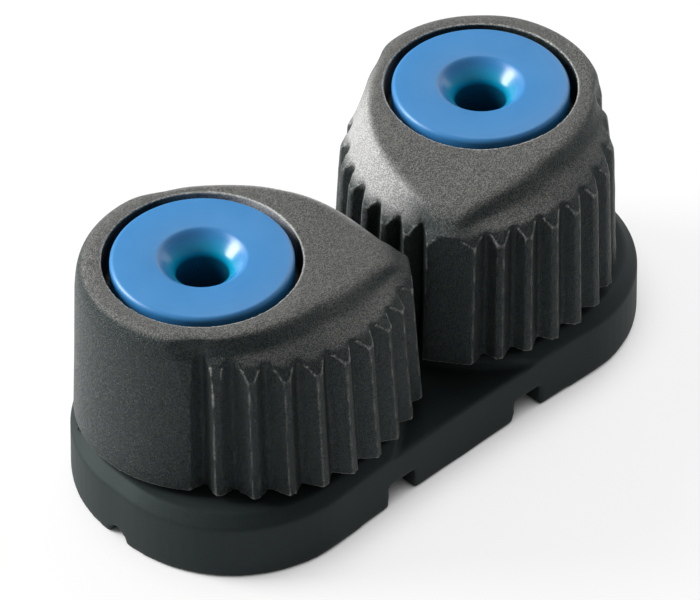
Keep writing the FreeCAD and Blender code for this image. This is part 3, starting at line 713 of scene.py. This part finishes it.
def dress(piece, material):
    """Give a piece this one material."""
    piece.data.materials.clear()
    piece.data.materials.append(material)
    piece.data.polygons.foreach_set("material_index", np.zeros(len(piece.data.polygons), int))
    print(piece.name, "wears", material.name)


print("materials that came with the frame:", len(bpy.data.materials))

# %% [markdown]
# ## Patterns that the finishes share
# Plastics differ in how their surface is broken up: how large the grains are, how sharp, and
# how deep. Noise on Object coordinates keeps its real size in millimetres, whatever the piece.

# %% Patterns and ways to mix
def rgb(red, green, blue):
    """A colour without transparency."""
    return (red, green, blue, 1)


def surface(finish):
    """Object coordinates, which are real metres on this cleat."""
    return finish.node("ShaderNodeTexCoord", {}, {}, "Object")


def grains(finish, width, detail=2.0, roughness=0.5):
    """Cloudy noise with grains of about this width."""
    values = {"Vector": surface(finish), "Scale": 1 / width, "Detail": detail,
              "Roughness": roughness}
    return finish.node("ShaderNodeTexNoise", {}, values, "Fac")


def threshold(finish, signal, low, high):
    """0 below low and 1 above high, with a soft step between."""
    settings = {"interpolation_type": "SMOOTHSTEP"}
    values = {"Value": signal, "From Min": low, "From Max": high}
    return finish.node("ShaderNodeMapRange", settings, values)


def blend(finish, share, first, second):
    """A colour between two colours."""
    values = {0: share, 6: first, 7: second}
    return finish.node("ShaderNodeMix", {"data_type": "RGBA"}, values, 2)


def stored(finish, name):
    """A number stored on the mesh, such as relief or facing."""
    return finish.node("ShaderNodeAttribute", {"attribute_name": name}, {}, "Fac")


def bumps(finish, height, distance, strength=1.0):
    """Small bumps of this height in metres."""
    values = {"Height": height, "Distance": distance, "Strength": strength}
    finish.feed("Normal", finish.node("ShaderNodeBump", {}, values, "Normal"))


print("grains 1 mm wide need a noise scale of", round(1 / MM))

# %% [markdown]
# ## Carbon-filled nylon for the cams
# The cams are nylon with chopped carbon fibre. Under a lamp the skin shows a fine pepper of
# pale and dark specks a fifth of a millimetre wide, because fibres near the skin catch the
# light. So the speck pattern changes colour and roughness and also lifts the skin a little.
# Painted top light on what faces up, a painted highlight on the fold beside the rope, and crest
# paleness that is partly wear and partly a painted edge highlight are laid over it, each thinner
# between the specks. The grooves get painted shade. The crests are palest near the top.

# %% The cams' finish
FINE_SPECK = 0.13 * MM
COARSE_SPECK = 0.45 * MM
CAM_CLOUD = 6 * MM
SPECK_HEIGHT = 0.16 * MM
CREST_FADE_HEIGHTS = (groove_tops - 7 * MM, groove_tops + 1 * MM)
COOL_GLOSS = rgb(0.82, 1, 1)
PIT_BLACK = rgb(0.004, 0.0075, 0.0075)
SPECK_GREY = rgb(0.045, 0.05, 0.048)
# Painted top light, a painted highlight on the rope's fold, crests partly worn and partly given a
# painted highlight, and painted shade in the grooves.
TOP_LIGHT_GREY = rgb(0.2, 0.19, 0.178)
SHEEN_GREY = rgb(0.55, 0.54, 0.53)
CREST_WEAR_AND_HIGHLIGHT_GREY = rgb(0.6, 0.6, 0.57)
GROOVE_SHADE_BLACK = rgb(0.004, 0.006, 0.006)


def height_above(finish):
    """How high a point lies on the cleat, in metres."""
    return finish.node("ShaderNodeSeparateXYZ", {}, [surface(finish)], "Z")


def cam_nylon():
    """Black nylon with a pepper of specks, crests pale from wear and a painted highlight, painted
    shade in the grooves, painted top light and a painted highlight on the rope's fold.
    """
    finish = Finish("cam_nylon", Specular_IOR_Level=0.25, Specular_Tint=COOL_GLOSS)
    fine = grains(finish, FINE_SPECK, 2.0, 0.6)
    coarse = grains(finish, COARSE_SPECK)
    cloud = grains(finish, CAM_CLOUD)
    pepper = threshold(finish, fine * 0.85 + coarse * 0.15, 0.44, 0.62)
    upper_share = threshold(finish, height_above(finish), *CREST_FADE_HEIGHTS)
    relief = stored(finish, "relief")
    # Crests: partly wear, partly a painted edge highlight, strongest near the top.
    crest_wear_and_highlight = threshold(finish, relief, 0.62, 0.92) * (0.5 + 0.5 * upper_share)
    # Painted shade in the grooves.
    groove_shade = threshold(finish, relief, 0.45, 0.1)
    # Painted top light: what faces up is painted paler, less on the nose.
    top_light = threshold(finish, stored(finish, "facing"), 0.62, 0.96) * stored(finish, "top_light_share")
    colour = blend(finish, pepper, PIT_BLACK, SPECK_GREY)
    colour = blend(finish, top_light * (0.25 + 0.75 * pepper), colour, TOP_LIGHT_GREY)
    # Painted highlight along the fold beside the rope.
    sheen_mask = stored(finish, "painted_sheen") * (0.45 + 0.55 * pepper)
    colour = blend(finish, sheen_mask, colour, SHEEN_GREY)
    colour = blend(finish, crest_wear_and_highlight * (0.3 + 0.7 * pepper), colour, CREST_WEAR_AND_HIGHLIGHT_GREY)
    colour = blend(finish, groove_shade * 0.7, colour, GROOVE_SHADE_BLACK)
    finish.feed("Base Color", colour)
    finish.feed("Roughness", 0.4 - 0.18 * pepper + 0.05 * cloud)
    bumps(finish, fine + coarse * 0.5, SPECK_HEIGHT, 0.9)
    return finish.material


cam_finish = cam_nylon()
for cam in cams.values():
    dress(cam, cam_finish)

# %% [markdown]
# ## Plain nylon for the base
# The base is smoother and evenly matte. It has only a faint grain, and its edges are painted a
# little paler, as a painted highlight.

# %% The base's finish
BASE_GRAIN = 0.22 * MM
BASE_CLOUD = 8 * MM
BASE_BUMP = 0.02 * MM
BASE_BLACK = rgb(0.015, 0.02, 0.02)
BASE_DARK = rgb(0.024, 0.03, 0.03)
BASE_EDGE_HIGHLIGHT = rgb(0.09, 0.095, 0.092)


def base_nylon():
    """Even black nylon with a painted highlight on its edges."""
    finish = Finish("base_nylon", Specular_IOR_Level=0.16, Specular_Tint=COOL_GLOSS)
    fine = grains(finish, BASE_GRAIN)
    cloud = grains(finish, BASE_CLOUD)
    # Painted highlight: the edges, where relief is high, are painted paler.
    edge = threshold(finish, stored(finish, "relief"), 0.6, 1.0)
    colour = blend(finish, fine, BASE_BLACK, BASE_DARK)
    finish.feed("Base Color", blend(finish, edge * 0.35, colour, BASE_EDGE_HIGHLIGHT))
    finish.feed("Roughness", 0.56 + 0.08 * cloud)
    bumps(finish, fine, BASE_BUMP, 0.4)
    return finish.material


dress(base, base_nylon())

# %% [markdown]
# ## Glossy blue for the caps
# The caps are a coloured bearing plastic with a gloss skin. It has slight flow clouds, and the
# gloss is broken a little by waves too low to see by themselves. Down the funnel the blue is
# painted deeper and greener, as painted shade for light that reaches it only off the blue walls.
# The hole gets painted shade, almost dark.

# %% The caps' finish
CAP_CLOUD = 3.2 * MM
CAP_GRAIN = 0.35 * MM
CAP_WAVE = 0.012 * MM
DEEP_BLUE = rgb(0.024, 0.175, 0.42)
PALE_BLUE = rgb(0.04, 0.21, 0.47)
# Painted shade down the funnel and in the hole.
FUNNEL_SHADE_BLUE = rgb(0.0, 0.26, 0.43)
HOLE_SHADE_BLUE = rgb(0.004, 0.06, 0.12)


def cap_gloss():
    """Blue plastic, glossier in the funnel, with painted shade down the funnel and in the hole."""
    finish = Finish("cap_gloss", Specular_IOR_Level=0.5)
    cloud = grains(finish, CAP_CLOUD, 3.0, 0.55)
    fine = grains(finish, CAP_GRAIN)
    deep = stored(finish, "deep")
    colour = blend(finish, cloud, DEEP_BLUE, PALE_BLUE)
    # Painted shade down the funnel and in the hole.
    colour = blend(finish, threshold(finish, deep, 0.05, 0.6), colour, FUNNEL_SHADE_BLUE)
    colour = blend(finish, threshold(finish, deep, 0.7, 1), colour, HOLE_SHADE_BLUE)
    finish.feed("Base Color", colour)
    finish.feed("Roughness", 0.34 + 0.12 * cloud - 0.14 * threshold(finish, deep, 0, 0.2))
    bumps(finish, cloud * 0.7 + fine * 0.3, CAP_WAVE, 0.5)
    return finish.material


cap_finish = cap_gloss()
for cap in caps.values():
    dress(cap, cap_finish)

# %% [markdown]
# ## Steel and acetal inside
# The springs, rings and balls hardly show, but a maker's part is finished inside too. The
# spring is drawn wire, with faint lines, and the rings and balls are smooth acetal.

# %% The inner pieces' finishes
STEEL_DARK = rgb(0.42, 0.42, 0.43)
STEEL_PALE = rgb(0.6, 0.6, 0.6)
DRAWN_LINE = 0.3 * MM
ACETAL_CLOUD = 1.2 * MM
ACETAL_GRAIN = 0.2 * MM
INNER_BUMP = 0.01 * MM


def drawn_steel():
    """Bright wire with streaks."""
    finish = Finish("drawn_steel", Metallic=1.0)
    streak = grains(finish, DRAWN_LINE, 3.0, 0.7)
    finish.feed("Base Color", blend(finish, streak, STEEL_DARK, STEEL_PALE))
    finish.feed("Roughness", 0.28 + 0.2 * streak)
    bumps(finish, streak, INNER_BUMP, 0.4)
    return finish.material


def acetal(name, dark, pale):
    """Smooth plastic between two tones."""
    finish = Finish(name)
    cloud = grains(finish, ACETAL_CLOUD)
    finish.feed("Base Color", blend(finish, cloud, dark, pale))
    finish.feed("Roughness", 0.3 + 0.15 * cloud)
    bumps(finish, grains(finish, ACETAL_GRAIN), INNER_BUMP, 0.3)
    return finish.material


steel = drawn_steel()
ring_acetal = acetal("ring_acetal", rgb(0.52, 0.52, 0.49), rgb(0.62, 0.62, 0.59))
ball_acetal = acetal("ball_acetal", rgb(0.09, 0.1, 0.08), rgb(0.13, 0.14, 0.11))
for side in PIVOTS:
    dress(springs[side], steel)
    dress(nodes["ball_ring_" + side], ring_acetal)
    dress(nodes["upper_balls_" + side], ball_acetal)
    dress(nodes["lower_balls_" + side], ball_acetal)

# %% [markdown]
# ## The floor
# The cleat stands on a clean white page. White paper alone turns grey in the light that suits
# dark nylon, so the floor also glows a little where the camera or a mirror sees it, and not for
# the light on the cleat. The glow fades right beside the cleat, where little of the sky is
# open, so its contact shadow and the dark inside the notches stay.

# %% Lay the floor
FLOOR_WIDTH = 4
SHADOW_REACH = 7 * MM
GLOW = 0.8


def floor_white():
    """White paper that the camera sees brighter than the cleat does, with its shadow kept."""
    finish = Finish("floor_white", Base_Color=rgb(0.85, 0.85, 0.85), Roughness=0.9)
    camera_ray, mirror_ray, glass_ray = [
        finish.node("ShaderNodeLightPath", {}, {}, f"Is {kind} Ray")
        for kind in ("Camera", "Glossy", "Transmission")]
    seen = camera_ray.larger(mirror_ray).larger(glass_ray)
    open_sky = finish.node("ShaderNodeAmbientOcclusion", {"samples": 8},
                           {"Distance": SHADOW_REACH}, "AO")
    glow = finish.node("ShaderNodeEmission", {}, {"Strength": 1.0})
    lit = Signal(finish, finish.shader.outputs[0])
    share = seen * GLOW * threshold(finish, open_sky, 0.1, 0.9)
    mixed = finish.node("ShaderNodeMixShader", {}, [share, lit, glow])
    finish.put(finish.net.nodes["Material Output"].inputs["Surface"], mixed)
    return finish.material


bpy.ops.object.select_all(action="DESELECT")
bpy.ops.mesh.primitive_plane_add(size=FLOOR_WIDTH, location=(0, 0, cad_low.z))
floor = bpy.context.object
floor.name = "floor"
floor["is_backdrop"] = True
dress(floor, floor_white())

# %% [markdown]
# ## The world
# A photographer's white walls send a little light from everywhere. A dim white world does the
# same, and keeps the shadows from going black. The standard view shows colours as they come,
# without the look of a film.

# %% Light the world
WORLD_LIGHT = 0.25

world = bpy.data.worlds.new("studio")
bpy.context.scene.world = world
world.use_nodes = True
sky = world.node_tree.nodes["Background"]
sky.inputs["Strength"].default_value = WORLD_LIGHT
sky.inputs["Color"].default_value = rgb(1, 1, 1)
bpy.context.scene.view_settings.view_transform = "Standard"
print("the world's light is", WORLD_LIGHT)

# %% [markdown]
# ## The lamps
# Dark nylon shows form only by what it mirrors, so four softboxes stand round it: a bright one
# at the left and behind, for the flank beside the rope, a broad one at the right, and two weak
# ones behind and above. Large lamps give the blue gloss broad, dim mirrors and no hard spots.

# %% Set up the lamps
LAMP_AIM = Vector((0, 0, 18 * MM))


def softbox(name, towards, distance, width, height, watts):
    """A rectangular lamp that looks at the cleat from one direction, in metres."""
    direction = Vector(towards).normalized()
    bpy.ops.object.light_add(type="AREA", location=LAMP_AIM + direction * distance)
    lamp = bpy.context.object
    lamp.name = name
    lamp.rotation_euler = direction.to_track_quat("Z", "Y").to_euler()
    lamp.data.shape = "RECTANGLE"
    lamp.data.size = width
    lamp.data.size_y = height
    lamp.data.energy = watts
    print(name, "gives", watts, "W")


softbox("left_lamp", (-0.55, 0.7, 0.42), distance=0.5, width=0.2, height=0.3, watts=4.2)
softbox("right_lamp", (0.85, 0.1, 0.45), distance=0.6, width=0.5, height=0.5, watts=1.5)
softbox("back_lamp", (-0.1, 0.8, 0.5), distance=0.6, width=0.4, height=0.4, watts=0.6)
softbox("top_lamp", (0.35, 0.23, 0.9), distance=0.6, width=0.3, height=0.3, watts=0.7)

# %% [markdown]
# ## The dressed cleat's size
# Softening takes a few hundredths of a millimetre off the corners. The size of the dressed
# cleat's box is printed.

# %% Measure and finish
bpy.context.view_layer.update()
low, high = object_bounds()
print("the dressed cleat is", [round((b - a) / MM, 2) for a, b in zip(low, high)], "mm")
